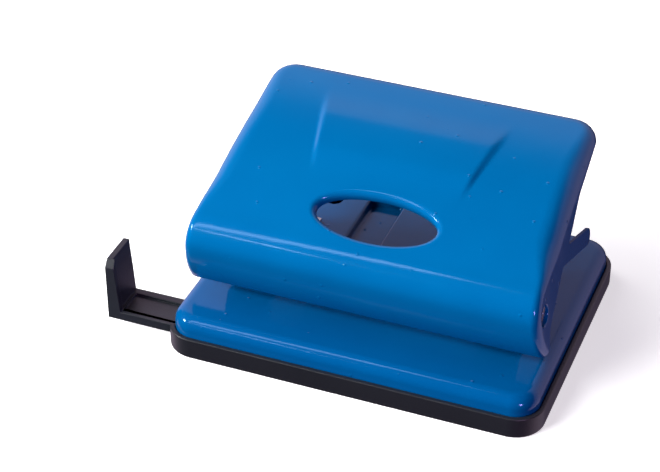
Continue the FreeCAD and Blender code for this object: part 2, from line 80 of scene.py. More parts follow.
def add_node(tree, kind, inputs=None, **settings):
    """One shader or geometry node. An input given as a socket is linked, any other value is set on it.

    A setting is one of the node's own, or else the name of an input.
    """
    made = tree.nodes.new(kind)
    for name, value in settings.items():
        if hasattr(made, name):
            setattr(made, name, value)
        else:
            made.inputs[name.replace("_", " ")].default_value = value
    for name, value in (inputs or {}).items():
        if isinstance(value, bpy.types.NodeSocket):
            tree.links.new(value, made.inputs[name])
        else:
            made.inputs[name].default_value = value
    return made


def place_camera():
    """A camera that looks past the origin, with a long lens and no shift."""
    turn, rise = CAMERA_TURN, CAMERA_RAISE
    back = Vector((math.sin(turn) * math.cos(rise), -math.cos(turn) * math.cos(rise), math.sin(rise)))
    right = Vector((math.cos(turn), math.sin(turn), 0))
    up = back.cross(right)
    camera = bpy.data.objects.new("camera", bpy.data.cameras.new("camera"))
    bpy.context.scene.collection.objects.link(camera)
    camera.data.lens = LENS_MM
    camera.data.sensor_width = 36.0
    camera.data.clip_start = 0.01
    camera.location = back * CAMERA_DISTANCE + right * LOOK_RIGHT + up * LOOK_UP
    camera.rotation_euler = back.to_track_quat("Z", "Y").to_euler()
    camera.rotation_euler.rotate_axis("Z", CAMERA_ROLL)
    bpy.context.scene.camera = camera


def soft_box(name, place, target, width, depth, watts, colour="FFFFFF"):
    """A rectangular light that shines from place towards target."""
    light = bpy.data.objects.new(name, bpy.data.lights.new(name, "AREA"))
    bpy.context.scene.collection.objects.link(light)
    light.data.shape = "RECTANGLE"
    light.data.size = width
    light.data.size_y = depth
    light.data.energy = watts
    light.data.color = linear(colour)[:3]
    light.location = place
    light.rotation_euler = (Vector(place) - Vector(target)).to_track_quat("Z", "Y").to_euler()
    return light


def stage():
    """A sheet of white card, kept out of reflections, where the room's pale wall stands for it."""
    mesh = bpy.data.meshes.new("floor")
    corners = [(x * FLOOR_REACH, y * FLOOR_REACH, 0) for x, y in ((-1, -1), (1, -1), (1, 1), (-1, 1))]
    mesh.from_pydata(corners, [], [(0, 1, 2, 3)])
    floor = bpy.data.objects.new("floor", mesh)
    bpy.context.scene.collection.objects.link(floor)
    paper = bpy.data.materials.new("white_card_floor")
    paper.use_nodes = True
    shader = paper.node_tree.nodes["Principled BSDF"]
    shader.inputs["Base Color"].default_value = linear(FLOOR_COLOUR)
    shader.inputs["Roughness"].default_value = 0.9
    shader.inputs["Specular IOR Level"].default_value = 0.2
    shader.inputs["Emission Color"].default_value = linear("FFFFFF")
    shader.inputs["Emission Strength"].default_value = FLOOR_GLOW
    mesh.materials.append(paper)
    floor.visible_diffuse = False
    floor.visible_glossy = False
    bpy.context.scene.view_settings.view_transform = "Standard"


def studio_room():
    """A pale wall behind the table, fading into a dark room above and in front of it."""
    world = bpy.data.worlds.new("studio")
    world.use_nodes = True
    tree = world.node_tree
    way = add_node(tree, "ShaderNodeTexCoord").outputs["Generated"]
    forward = add_node(tree, "ShaderNodeVectorMath", {0: way, 1: ROOM_AXIS}, operation="DOT_PRODUCT")
    share = add_node(tree, "ShaderNodeMapRange", {"Value": forward.outputs["Value"]}, From_Min=-1.0)
    walls = add_node(tree, "ShaderNodeValToRGB", {"Fac": share.outputs["Result"]})
    ramp = walls.color_ramp
    while len(ramp.elements) < len(ROOM_SHADES):
        ramp.elements.new(0.5)
    for element, (place, colour) in zip(ramp.elements, ROOM_SHADES):
        element.position = (place + 1) / 2
        element.color = linear(colour)
    tree.links.new(walls.outputs["Color"], tree.nodes["Background"].inputs["Color"])
    path = add_node(tree, "ShaderNodeLightPath").outputs["Is Diffuse Ray"]
    dimmed = add_node(tree, "ShaderNodeMapRange", {"Value": path}, To_Min=1.0, To_Max=ROOM_FILL)
    tree.links.new(dimmed.outputs["Result"], tree.nodes["Background"].inputs["Strength"])
    bpy.context.scene.world = world


place_camera()
stage()
studio_room()
middle = Vector((0, 0, 0.03))
nose = Vector((-0.03, -0.033, 0.042))
right_side = Vector((0.05, -0.03, 0.03))
# The two large ones light the colours, and are hidden from the gloss, where they would wash them out.
key = soft_box("soft_box_key", (-0.72, -0.86, 0.66), middle, width=0.7, depth=0.7, watts=22.0)
key.visible_glossy = False
high = soft_box("soft_box_high", (-0.90, 0.05, 0.95), middle, width=0.9, depth=0.9, watts=9.0)
high.visible_glossy = False
# The small ones draw the streak along the nose and the glints at its two ends.
soft_box("soft_box_front", (-0.279, -0.36, 0.60), nose, width=0.07, depth=0.52, watts=0.75)
soft_box("soft_box_front_edge", (-0.277, -0.59, 0.47), nose, width=0.07, depth=0.03, watts=0.10)
soft_box("soft_box_left", (-0.75, -0.40, 0.42), middle, width=0.22, depth=0.14, watts=6.0)
soft_box("soft_box_right", (0.55, -0.62, 0.19), right_side, width=0.13, depth=0.13, watts=2.4,
         colour="F0B8FF")

# ---- handle ---------------------------------------------------------------------------------------
# Deep-drawn from 1 mm steel sheet: a curved top that rolls over at the front, side flanges with the
# bore for the rod and a stop tongue, and a rolled-in oval window. Glossy blue stove enamel all over.

MM = 0.001
SHEET = 1.0
HALF_WIDTH = 56.3                       # at WIDTH_HEIGHT, in millimetres like every size below
WIDTH_HEIGHT = 30.0
SIDE_TAPER = 0.114                      # half width lost for each millimetre of height
REAR_FACE = 36.8
REAR_LIP = 57.0
REAR_CORNER = 8.0
SIDE_BEND = 6.4                         # outside radius between the top and the sides
NOSE_BEND = 2.6                         # the same bend round the nose, where it is drawn sharper
REAR_BEND = 4.6                         # and at the rear
NOSE_BEND_PLACES = (-31.0, -14.0)       # the bend widens from one to the other
REAR_BEND_PLACES = (12.0, 30.0)         # and narrows again
PROFILE_ARCS = (                        # (y, z) of start, middle and end, from the front edge to the rear
    ((-29.5, 18.5), (-34.3, 26.8), (-36.2, 35.0)),
    ((-36.2, 35.0), (-34.3, 40.2), (-29.0, 43.6)),
    ((-29.0, 43.6), (0.0, 55.1), (36.8, 62.4)),
)
PROFILE_STEP = 0.4
PROFILE_EASING = 2.2                    # length over which one arc of the profile runs into the next
EDGE_STEP = 1.15                        # distance between the mesh's points along the top's edge
CORNER_TURNS = 6                        # steps round each rear corner
BEND_STEPS = 8
TOP_RINGS = 64                          # rings of faces between the window and the top's edge
RING_CROWDING = 1.25                    # above 1 the rings lie closer together at the window
FAN = (52.0, 44.0)                      # the rings' spokes leave the window as if towards this ellipse
WINDOW_PLACE = -19.8                    # y of the window's centre
WINDOW_HALF_LENGTH = 19.0
WINDOW_HALF_HEIGHT = 7.9
WINDOW_ROLL = 1.9                       # radius that the rim is rolled in with
WINDOW_DEPTH = 3.2
ROD_HEIGHT = 34.0
ROD_PLACE = -29.6
ROD_HOLE = 3.2
ROD_HOLE_SIDES = 40
HOLE_ROLL = 0.45
HOLE_DEPTH = 2.2
FLANGE_OUTLINE = (                      # (y, z, rounding) of the flange's lower edge, rear to front
    (10.0, 50.8, 9.0), (0.5, 44.0, 2.0), (-3.7, 41.7, 0.8), (20.1, 33.3, 2.6), (18.3, 28.3, 2.6),
    (-9.8, 38.1, 2.0), (-17.0, 33.0, 8.0), (-25.2, 27.0, 6.0), (-27.3, 19.6, 0.5),
)
PANEL_RAISE = 1.0                       # the embossed middle panel stands this high
PANEL_RAMP = 1.9                        # width of the slope at each crease
PANEL_RISES = (-0.05, 0.35)             # shares of the crease's length, from its front end
PANEL_SINKS = (0.65, 1.1)
PANEL_LEFT = ((-32.6, 27.0), (-24.0, -12.7))    # (x, y) of the crease's rear and front ends
PANEL_RIGHT = ((28.0, 23.0), (22.0, -10.0))
RAW_EDGE = 0.12                         # ease on a sheet's cut edges


def arc_through(a, b, c, step):
    """Points along the arc from a over b to c."""
    a, b, c = (np.array(p, float) for p in (a, b, c))
    matrix = np.array([b - a, c - b])
    middles = np.array([(a + b) / 2, (b + c) / 2])
    centre = np.linalg.solve(matrix, (matrix * middles).sum(1))
    radius = np.linalg.norm(a - centre)
    angles = np.unwrap([math.atan2(p[1] - centre[1], p[0] - centre[0]) for p in (a, b, c)])
    count = max(2, round(abs(angles[2] - angles[0]) * radius / step))
    turn = np.linspace(angles[0], angles[2], count + 1)
    return centre + radius * np.c_[np.cos(turn), np.sin(turn)]


class SideProfile:
    """The top sheet's outer profile as a function of the length along it, from the front edge."""

    def __init__(self):
        points = [arc_through(*PROFILE_ARCS[0], PROFILE_STEP)]
        for arc in PROFILE_ARCS[1:]:
            points.append(arc_through(*arc, PROFILE_STEP)[1:])
        points = np.concatenate(points)
        reach = round(PROFILE_EASING / PROFILE_STEP)
        weights = np.hanning(2 * reach + 3)[1:-1]
        weights /= weights.sum()
        ahead = 2 * points[0] - points[1:reach + 1][::-1]
        beyond = 2 * points[-1] - points[-reach - 1:-1][::-1]
        padded = np.concatenate([ahead, points, beyond])
        self.points = np.transpose([np.convolve(padded[:, k], weights, "valid") for k in (0, 1)])
        self.lengths = np.r_[0, np.cumsum(np.linalg.norm(np.diff(self.points, axis=0), axis=1))]

    def at(self, s):
        """(y, z) and the outward normal there."""
        near = 0.3                      # the slope is taken this far to either side
        y, z = (np.interp(s, self.lengths, self.points[:, k]) for k in (0, 1))
        ahead = [np.interp(s + near, self.lengths, self.points[:, k]) for k in (0, 1)]
        behind = [np.interp(s - near, self.lengths, self.points[:, k]) for k in (0, 1)]
        along = np.array(ahead) - np.array(behind)
        along /= np.linalg.norm(along)
        return np.array([y, z]), np.array([-along[1], along[0]])

    def length_at(self, y):
        """Length along the profile to a place behind the bulge."""
        start = int(np.argmin(self.points[:, 0]))
        return float(np.interp(y, self.points[start:, 0], self.lengths[start:]))


profile = SideProfile()


def half_width(z):
    """Half the width over the flanges at a height."""
    return HALF_WIDTH - SIDE_TAPER * (z - WIDTH_HEIGHT)


def eased(value, low, high):
    """0 below low, 1 above high, and a smooth rise between them."""
    t = min(1.0, max(0.0, (value - low) / (high - low)))
    return t * t * (3 - 2 * t)


def bend_radius(y, z):
    """Outside radius of the bend between top and sides, at a place on the profile."""
    if z < ROD_HEIGHT:
        return NOSE_BEND
    radius = NOSE_BEND + (SIDE_BEND - NOSE_BEND) * eased(y, *NOSE_BEND_PLACES)
    return radius + (REAR_BEND - SIDE_BEND) * eased(y, *REAR_BEND_PLACES)


def outline_stations():
    """Stations along the left side, the rear and the right side, where the top turns down.

    Each is (x of the bend's centre line, length along the profile, outward direction). The second
    result is how many of them belong to one straight side.
    """
    rear_centre = REAR_FACE - REAR_BEND
    corner = REAR_CORNER - REAR_BEND
    s_rear = profile.length_at(rear_centre)
    for _ in range(20):                 # until the bend ends at REAR_FACE
        point, normal = profile.at(s_rear)
        s_rear += rear_centre - (point - normal * REAR_BEND)[0]
    s_side = s_rear - corner
    cosine = 1 / math.hypot(1, SIDE_TAPER)
    left = []
    for s in np.linspace(0, s_side, round(s_side / EDGE_STEP) + 1):
        point, normal = profile.at(s)
        radius = bend_radius(*point)
        z = (point - normal * radius)[1]
        left.append((half_width(z) - radius / cosine, s, (1.0, 0.0, SIDE_TAPER)))
    x_side = left[-1][0]
    for turn in np.linspace(0, math.pi / 2, CORNER_TURNS + 1)[1:]:
        x = x_side - corner + corner * math.cos(turn)
        s = s_side + corner * math.sin(turn)
        left.append((x, s, (math.cos(turn), math.sin(turn), SIDE_TAPER * math.cos(turn))))
    x_rear = left[-1][0]
    stations = [(-x, s, (-way[0], way[1], way[2])) for x, s, way in left]
    for x in np.linspace(-x_rear, x_rear, round(2 * x_rear / EDGE_STEP) + 1)[1:-1]:
        stations.append((x, s_rear, (0.0, 1.0, 0.0)))
    stations += left[::-1]
    return stations, len(left) - CORNER_TURNS


def panel_raise(x, y):
    """Height of the embossed middle panel, which fades out at both ends of its creases."""
    share = 1.0
    for (rear, front), side in ((PANEL_LEFT, -1), (PANEL_RIGHT, 1)):
        along = (y - front[1]) / (rear[1] - front[1])
        crease = front[0] + (rear[0] - front[0]) * along
        share *= eased(side * (crease - x), -PANEL_RAMP / 2, PANEL_RAMP / 2)
        share *= eased(along, *PANEL_RISES) * (1 - eased(along, *PANEL_SINKS))
    return PANEL_RAISE * share


def on_sheet(x, s, depth=0.0):
    """A place on the top at a length along the profile, sunk by depth."""
    point, normal = profile.at(s)
    point = point - normal * depth
    return Vector((x, point[0], point[1]))


def add_loop(mesh, points):
    """New vertices of one loop."""
    return [mesh.verts.new(p) for p in points]


def join_loops(mesh, first, second, closed=True):
    """Quads between two loops of the same length."""
    count = len(first)
    for i in range(count if closed else count - 1):
        j = (i + 1) % count
        corners = [first[i], first[j], second[j], second[i]]
        distinct = [v for k, v in enumerate(corners) if v not in corners[:k]]
        if len(distinct) > 2:
            mesh.faces.new(distinct)


def fill_flat(mesh, loops):
    """Triangles across a flat region bounded by closed loops, the first one outside."""
    edges = []
    for loop in loops:
        for a, b in zip(loop, loop[1:] + loop[:1]):
            edges.append(mesh.edges.get((a, b)) or mesh.edges.new((a, b)))
    bmesh.ops.triangle_fill(mesh, use_beauty=True, edges=edges)


def rounded_outline(corners, steps=6):
    """Points of an open outline whose corners (y, z, radius) are rounded; its ends are kept."""
    points = [np.array(corners[0][:2], float)]
    for before, corner, after in zip(corners, corners[1:], corners[2:]):
        here = np.array(corner[:2], float)
        a = np.array(before[:2]) - here
        b = np.array(after[:2]) - here
        room = min(np.linalg.norm(a), np.linalg.norm(b)) / 2
        a /= np.linalg.norm(a)
        b /= np.linalg.norm(b)
        half = math.acos(np.clip(a @ b, -1, 1)) / 2
        setback = min(corner[2] / math.tan(half), room * 0.98)      # short of the next corner's arc
        radius = setback * math.tan(half)
        centre = here + (a + b) / np.linalg.norm(a + b) * radius / math.sin(half)
        start = here + a * setback - centre
        end = here + b * setback - centre
        total = math.acos(np.clip(start @ end / radius ** 2, -1, 1))
        for k in range(steps + 1):
            share = k / steps
            mixed = (math.sin((1 - share) * total) * start + math.sin(share * total) * end) / math.sin(total)
            points.append(centre + mixed)
    points.append(np.array(corners[-1][:2], float))
    return points


def quarter(steps=8):
    """(sine, 1 - cosine) over a quarter turn."""
    return [(math.sin(t), 1 - math.cos(t)) for t in np.linspace(0, math.pi / 2, steps + 1)]


def window_place(angle, margin):
    """(x, length along the profile) on the window's ellipse, moved outwards by margin."""
    base = np.array([WINDOW_HALF_LENGTH * math.cos(angle), WINDOW_HALF_HEIGHT * math.sin(angle)])
    out = np.array([math.cos(angle) / WINDOW_HALF_LENGTH, math.sin(angle) / WINDOW_HALF_HEIGHT])
    return base + out / np.linalg.norm(out) * margin + (0, profile.length_at(WINDOW_PLACE))


def window_rings(mesh, angles):
    """Rings of the rolled rim, from the panel's first ring down to the rim's raw edge."""
    rings = []
    for turned, sunk in quarter(6) + [(1.0, WINDOW_DEPTH / WINDOW_ROLL)]:
        places = [window_place(angle, WINDOW_ROLL * (1 - turned)) for angle in angles]
        rings.append(add_loop(mesh, [on_sheet(x, s, WINDOW_ROLL * sunk) for x, s in places]))
    return rings


def give_thickness(piece):
    """Adds the sheet's thickness on the inside of a shell."""
    solid = piece.modifiers.new("sheet", "SOLIDIFY")
    solid.thickness = SHEET * MM
    solid.offset = -1
    solid.use_even_offset = True


def ease_edges(piece, edge, angle=50, segments=2):
    """Rounds every edge that turns more than angle degrees, by edge millimetres."""
    bevel = piece.modifiers.new("eased_edges", "BEVEL")
    bevel.width = edge * MM
    bevel.segments = segments
    bevel.limit_method = "ANGLE"
    bevel.angle_limit = math.radians(angle)
    bevel.use_clamp_overlap = True
    shading = piece.modifiers.new("flat_faces_flat", "WEIGHTED_NORMAL")
    shading.keep_sharp = False


def baked(piece):
    """Applies a piece's modifiers to its mesh."""
    graph = bpy.context.evaluated_depsgraph_get()
    mesh = bpy.data.meshes.new_from_object(piece.evaluated_get(graph), depsgraph=graph)
    piece.modifiers.clear()
    old = piece.data
    piece.data = mesh
    mesh.name = piece.name
    bpy.data.meshes.remove(old)
    return piece


def new_piece(name, mesh, smooth=True):
    """Object from a bmesh in millimetres, its normals pointing outwards."""
    bmesh.ops.recalc_face_normals(mesh, faces=mesh.faces)
    bmesh.ops.scale(mesh, vec=(MM, MM, MM), verts=mesh.verts)
    for face in mesh.faces:
        face.smooth = smooth
    data = bpy.data.meshes.new(name)
    mesh.to_mesh(data)
    mesh.free()
    piece = bpy.data.objects.new(name, data)
    bpy.context.scene.collection.objects.link(piece)
    return piece


def handle_shell():
    """The handle's outer skin: the top round its window, the bend, the rear lip and two flanges."""
    mesh = bmesh.new()
    stations, side_count = outline_stations()
    edge_x = stations[0][0]
    front = [(x, 0.0) for x in np.linspace(-edge_x, edge_x, round(-2 * edge_x / EDGE_STEP) + 1)[1:-1]]
    boundary = [(x, s) for x, s, way in stations] + front
    s_window = profile.length_at(WINDOW_PLACE)
    angles = [math.atan2((s - s_window) / FAN[1], x / FAN[0]) for x, s in boundary]
    rims = window_rings(mesh, angles)
    rings = [rims[0]]
    first = [window_place(angle, WINDOW_ROLL) for angle in angles]
    for k in range(1, TOP_RINGS + 1):
        share = (k / TOP_RINGS) ** RING_CROWDING
        points = []
        for start, end in zip(first, boundary):
            x, s = start + (np.array(end) - start) * share
            point, normal = profile.at(s)
            points.append(on_sheet(x, s, -panel_raise(x, point[0])))
        rings.append(add_loop(mesh, points))
    for a, b in zip(rings, rings[1:]):
        join_loops(mesh, a, b)
    for a, b in zip(rims, rims[1:]):
        join_loops(mesh, a, b)

    top_row = rings[-1][:len(stations)]
    rows = [top_row]
    centres = []
    for x, s, way in stations:
        point, normal = profile.at(s)
        radius = bend_radius(*point)
        inner = point - normal * radius
        centres.append((Vector((x, inner[0], inner[1])), Vector((0, normal[0], normal[1])),
                        Vector(way).normalized(), radius))
    for k in range(1, BEND_STEPS + 1):
        row = [centre + up.slerp(out, k / BEND_STEPS) * radius for centre, up, out, radius in centres]
        rows.append(add_loop(mesh, row))
    for a, b in zip(rows, rows[1:]):
        join_loops(mesh, a, b, closed=False)

    foot = rows[-1]
    lip = foot[side_count - 1:len(foot) - side_count + 1]
    lower = []
    for vertex, (x, s, way) in zip(lip, stations[side_count - 1:]):
        lean = math.copysign(way[2], way[0])
        drop = vertex.co.z - REAR_LIP
        lower.append(mesh.verts.new(vertex.co + Vector((lean, 0, -1)) * drop))
    join_loops(mesh, lip, lower, closed=False)
    for side, chain, corner in ((-1, foot[:side_count], lower[0]), (1, foot[-side_count:][::-1], lower[-1])):
        add_flange(mesh, side, chain, corner)
    bmesh.ops.remove_doubles(mesh, verts=mesh.verts, dist=0.001)
    return new_piece("handle_shell", mesh)


def add_flange(mesh, side, chain, corner):
    """Flat flange from the side bend down to its cut edge, with the rod's hole rolled inwards."""
    def place(y, z):
        return Vector((side * half_width(z), y, z))

    rear = (corner.co.y, corner.co.z, 0.0)
    front = (chain[0].co.y, chain[0].co.z, 0.0)
    outline = rounded_outline([rear] + list(FLANGE_OUTLINE) + [front])
    lower = [corner] + add_loop(mesh, [place(y, z) for y, z in outline[1:-1]])
    turns = np.linspace(0, 2 * math.pi, ROD_HOLE_SIDES, endpoint=False)
    rings = []
    for turned, sunk in quarter(4) + [(1.0, HOLE_DEPTH / HOLE_ROLL)]:
        radius = ROD_HOLE + HOLE_ROLL * (1 - turned)
        loop = []
        for turn in turns:
            point = place(ROD_PLACE + radius * math.cos(turn), ROD_HEIGHT + radius * math.sin(turn))
            loop.append(point - Vector((side * HOLE_ROLL * sunk, 0, 0)))
        rings.append(add_loop(mesh, loop))
    for a, b in zip(rings, rings[1:]):
        join_loops(mesh, a, b)
    fill_flat(mesh, [chain + lower, rings[0]])


def new_material(name):
    """A material to fill in: itself, its node tree, its shader and the place on the piece."""
    material = bpy.data.materials.new(name)
    material.use_nodes = True
    tree = material.node_tree
    place = add_node(tree, "ShaderNodeTexCoord").outputs["Object"]
    return material, tree, tree.nodes["Principled BSDF"], place


ORANGE_PEEL = 0.7                       # from crest to crest
PEEL_HEIGHT = 0.12
FILM_WAVES = 17.0                       # slow swells of the film and of its shade
FILM_SWELL = 2.0
DUST_SPACING = 6.7                      # mean distance between specks baked into the film
PIP_HEIGHT = 0.3
HANDLE_SHADES = ("005990", "005F96")


def stove_enamel(name, shades):
    """Blue stove enamel on pressed steel: a hard gloss film that flowed out in the oven.

    The eye sees a deep colour under a clear skin, with a faint orange peel in long reflections.
    """
    material, tree, shader, place = new_material(name)
    peel = add_node(tree, "ShaderNodeTexNoise", {"Vector": place}, Scale=1 / (ORANGE_PEEL * MM),
                    Detail=1.0, Roughness=0.45)
    waves = add_node(tree, "ShaderNodeTexNoise", {"Vector": place}, Scale=1 / (FILM_WAVES * MM), Detail=1.0)
    specks = add_node(tree, "ShaderNodeTexVoronoi", {"Vector": place}, Scale=1 / (DUST_SPACING * MM))
    dust = add_node(tree, "ShaderNodeMapRange", {"Value": specks.outputs["Distance"]},
                    From_Min=0.03, From_Max=0.09, To_Min=1.0, To_Max=0.0)
    swells = add_node(tree, "ShaderNodeBump", {"Height": waves.outputs["Fac"]}, Strength=0.05,
                      Distance=FILM_SWELL * MM)
    fine = add_node(tree, "ShaderNodeBump",
                    {"Height": peel.outputs["Fac"], "Normal": swells.outputs["Normal"]},
                    Strength=0.12, Distance=PEEL_HEIGHT * MM)
    pips = add_node(tree, "ShaderNodeBump",
                    {"Height": dust.outputs["Result"], "Normal": fine.outputs["Normal"]},
                    Strength=0.5, Distance=PIP_HEIGHT * MM)
    tree.links.new(pips.outputs["Normal"], shader.inputs["Normal"])
    shade = add_node(tree, "ShaderNodeMix", {"Factor": waves.outputs["Fac"]}, data_type="RGBA")
    colour_inputs = [s for s in shade.inputs if s.type == "RGBA"]
    for socket, colour in zip(colour_inputs, shades):
        socket.default_value = linear(colour)
    colour_output = [s for s in shade.outputs if s.type == "RGBA"][0]
    tree.links.new(colour_output, shader.inputs["Base Color"])
    shader.inputs["Roughness"].default_value = 0.11
    shader.inputs["IOR"].default_value = 1.5
    # The pigment reaches the film's surface, so its straight reflections are a little blue.
    shader.inputs["Specular Tint"].default_value = linear("A8CCF4")
    return material


handle = handle_shell()
give_thickness(handle)
ease_edges(handle, RAW_EDGE)
baked(handle)
handle.data.materials.append(stove_enamel("blue_stove_enamel", HANDLE_SHADES))
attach(handle, "handle")
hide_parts("handle")

# ---- base plate -----------------------------------------------------------------------------------
# A shallow pan of the same sheet and enamel, standing upside down in the chip tray. Its top has the
# two die holes, two hanging holes for the enamelling line and two stiffening beads sunk in.

PLATE_LOW, PLATE_HIGH = [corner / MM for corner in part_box("base_plate")]
PLATE_CORNER = 7.75
PLATE_BEND = 4.0
CORNER_STEPS = 10
HOLE_STEPS = 48
PIN_PLACE = (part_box("right_punch_pin")[0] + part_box("right_punch_pin")[1]) / 2 / MM
DIE_HOLE = 3.05
HANG_HOLE = 3.0
HANG_PLACE = (33.5, 33.5)
BEAD_NEAR = 10.8                        # from the middle of the plate
BEAD_FAR = 22.0
BEAD_FRONT = 12.0
BEAD_REAR = 39.0
BEAD_CORNER = 2.0
BEAD_BEND = 1.0
BEAD_DROP = 3.0
GUIDE_LOW, GUIDE_HIGH = [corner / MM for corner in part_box("paper_guide")]
GUIDE_GAP = 0.3                         # play of the guide in its notches
GUIDE_BAR_TOP = 6.0
BEYOND_GUIDE = -120.0                   # x well past the guide's outer end
BASE_SHADOWED_TONES = ("004A80", "005086")      # painted shade: the handle's enamel drawn a little darker, for the base lying under the handle


def corner_loop(low, high, radius, inset, z):
    """Rounded rectangle between two corners, drawn in all round by inset."""
    points = []
    for k, (x, y) in enumerate(((high[0], high[1]), (low[0], high[1]), (low[0], low[1]), (high[0], low[1]))):
        centre_x = x - math.copysign(radius, x - low[0] - 1e-9)
        centre_y = y - math.copysign(radius, y - low[1] - 1e-9)
        for turn in np.linspace(k * math.pi / 2, (k + 1) * math.pi / 2, CORNER_STEPS + 1):
            points.append(Vector((centre_x + (radius - inset) * math.cos(turn),
                                  centre_y + (radius - inset) * math.sin(turn), z)))
    return points


def hole_loop(mesh, x, y, z, radius):
    """Level ring round a hole."""
    turns = np.linspace(0, 2 * math.pi, HOLE_STEPS, endpoint=False)
    return add_loop(mesh, [Vector((x + radius * math.cos(t), y + radius * math.sin(t), z)) for t in turns])


def sunk_bead(mesh, side):
    """Loops of one bead from the plate's top down to its floor, and the outermost loop."""
    top = PLATE_HIGH.z
    xs = sorted((side * BEAD_NEAR, side * BEAD_FAR))
    low, high = (xs[0], BEAD_FRONT), (xs[1], BEAD_REAR)
    steps = [(-BEAD_BEND * (1 - out), top - BEAD_BEND * down) for out, down in quarter(6)]
    floor = top - BEAD_DROP
    steps += [(BEAD_BEND * down, floor + BEAD_BEND * (1 - out)) for out, down in quarter(6)]
    loops = [add_loop(mesh, corner_loop(low, high, BEAD_CORNER, inset, z)) for inset, z in steps]
    for a, b in zip(loops, loops[1:]):
        join_loops(mesh, a, b)
    fill_flat(mesh, [loops[-1]])
    return loops[0]


def base_shell():
    """The pan's outer skin, from its holes and beads over the rolled edge down to its rim."""
    mesh = bmesh.new()
    top = PLATE_HIGH.z
    steps = [(PLATE_BEND * (1 - out), top - PLATE_BEND * down) for out, down in quarter()]
    steps.append((0.0, PLATE_LOW.z))
    loops = [add_loop(mesh, corner_loop(PLATE_LOW, PLATE_HIGH, PLATE_CORNER, inset, z)) for inset, z in steps]
    for a, b in zip(loops, loops[1:]):
        join_loops(mesh, a, b)
    holes = []
    for side in (-1, 1):
        holes.append(sunk_bead(mesh, side))
        holes.append(hole_loop(mesh, side * PIN_PLACE.x, PIN_PLACE.y, top, DIE_HOLE))
        holes.append(hole_loop(mesh, side * HANG_PLACE[0], HANG_PLACE[1], top, HANG_HOLE))
    fill_flat(mesh, [loops[0]] + holes)
    return new_piece("base_pan", mesh)


def cut_notch(piece, low, high):
    """Takes a box, given by two corners in millimetres, out of a piece."""
    mesh = bmesh.new()
    bmesh.ops.create_cube(mesh, size=1.0)
    middle = (Vector(low) + Vector(high)) / 2
    size = Vector(high) - Vector(low)
    for vertex in mesh.verts:
        vertex.co = Vector([middle[k] + vertex.co[k] * size[k] for k in range(3)])
    cutter = new_piece("notch_cutter", mesh, smooth=False)
    cut = piece.modifiers.new("notch", "BOOLEAN")
    cut.object = cutter
    cut.operation = "DIFFERENCE"
    cut.solver = "EXACT"
    baked(piece)
    bpy.data.objects.remove(cutter)
    return piece


def base_plate():
    """The pan with its thickness and the notch that the guide slides through."""
    piece = base_shell()
    give_thickness(piece)
    baked(piece)
    cut_notch(piece, (BEYOND_GUIDE, GUIDE_LOW.y - GUIDE_GAP, 0),
              (PLATE_LOW.x + PLATE_CORNER, GUIDE_HIGH.y + GUIDE_GAP, GUIDE_BAR_TOP + GUIDE_GAP))
    ease_edges(piece, RAW_EDGE)
    return baked(piece)


base = base_plate()
# The base's enamel is the handle's, drawn darker as painted shade from the handle above it.
base.data.materials.append(stove_enamel("blue_stove_enamel_base", BASE_SHADOWED_TONES))
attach(base, "base")
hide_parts("base_plate")

# ---- chip tray ------------------------------------------------------------------------------------
# Injection-moulded black ABS, pushed over the foot of the base plate to catch the chips. It is what
# the punch stands on. The mould was spark-eroded, so the skin has a fine dull grain.

TRAY_LOW, TRAY_HIGH = [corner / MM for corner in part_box("chip_tray")]
TRAY_CORNER = 9.5
TRAY_WALL = 1.6
TRAY_FLOOR = 1.6
TRAY_FOOT_EDGE = 0.6
TRAY_RIM_EDGE = 0.45
TRAY_NOTCH_LOW = 3.0                    # the guide's notch in the tray begins this far below the bar's top
NOTCH_EDGE = 0.1
GRAIN = 0.45                            # the real grain is finer than 0.1 mm: drawn coarser so that it shows
GRAIN_DEPTH = 0.1
FLOW_MARKS = 40.0                       # slow changes of gloss where the melt flowed
FLOW_CHANGE = 0.06                      # by how much they change the roughness either way


def moulded_tray():
    """The tray from its foot up the outside, over the rim and down to its floor inside."""
    mesh = bmesh.new()
    low, high = TRAY_LOW, TRAY_HIGH
    rim = TRAY_RIM_EDGE
    foot = TRAY_FOOT_EDGE
    steps = [(foot * (1 - out), low.z + foot * down) for out, down in quarter(4)]
    steps += [(rim * down, high.z - rim * (1 - out)) for out, down in quarter(4)]
    steps += [(TRAY_WALL - rim * (1 - out), high.z - rim * down) for out, down in quarter(4)]
    steps += [(TRAY_WALL, TRAY_FLOOR)]
    loops = [add_loop(mesh, corner_loop(low, high, TRAY_CORNER, inset, z)) for inset, z in steps]
    for a, b in zip(loops, loops[1:]):
        join_loops(mesh, a, b)
    fill_flat(mesh, [loops[0]])
    fill_flat(mesh, [loops[-1]])
    piece = new_piece("moulded_chip_tray", mesh)
    cut_notch(piece, (BEYOND_GUIDE, GUIDE_LOW.y - GUIDE_GAP, GUIDE_BAR_TOP - TRAY_NOTCH_LOW - GUIDE_GAP),
              (low.x + TRAY_CORNER, GUIDE_HIGH.y + GUIDE_GAP, high.z + TRAY_WALL))
    ease_edges(piece, NOTCH_EDGE)
    return baked(piece)


def vary(tree, shader, gloss_pattern, roughness, shade_pattern, shades, colour):
    """Roughness over a range by one pattern, and a colour darkened and lightened by another."""
    gloss = add_node(tree, "ShaderNodeMapRange", {"Value": gloss_pattern.outputs["Fac"]},
                     To_Min=roughness[0], To_Max=roughness[1])
    tree.links.new(gloss.outputs["Result"], shader.inputs["Roughness"])
    shade = add_node(tree, "ShaderNodeMapRange", {"Value": shade_pattern.outputs["Fac"]},
                     To_Min=shades[0], To_Max=shades[1])
    tint = add_node(tree, "ShaderNodeHueSaturation", {"Value": shade.outputs["Result"]}, Color=linear(colour))
    tree.links.new(tint.outputs["Color"], shader.inputs["Base Color"])


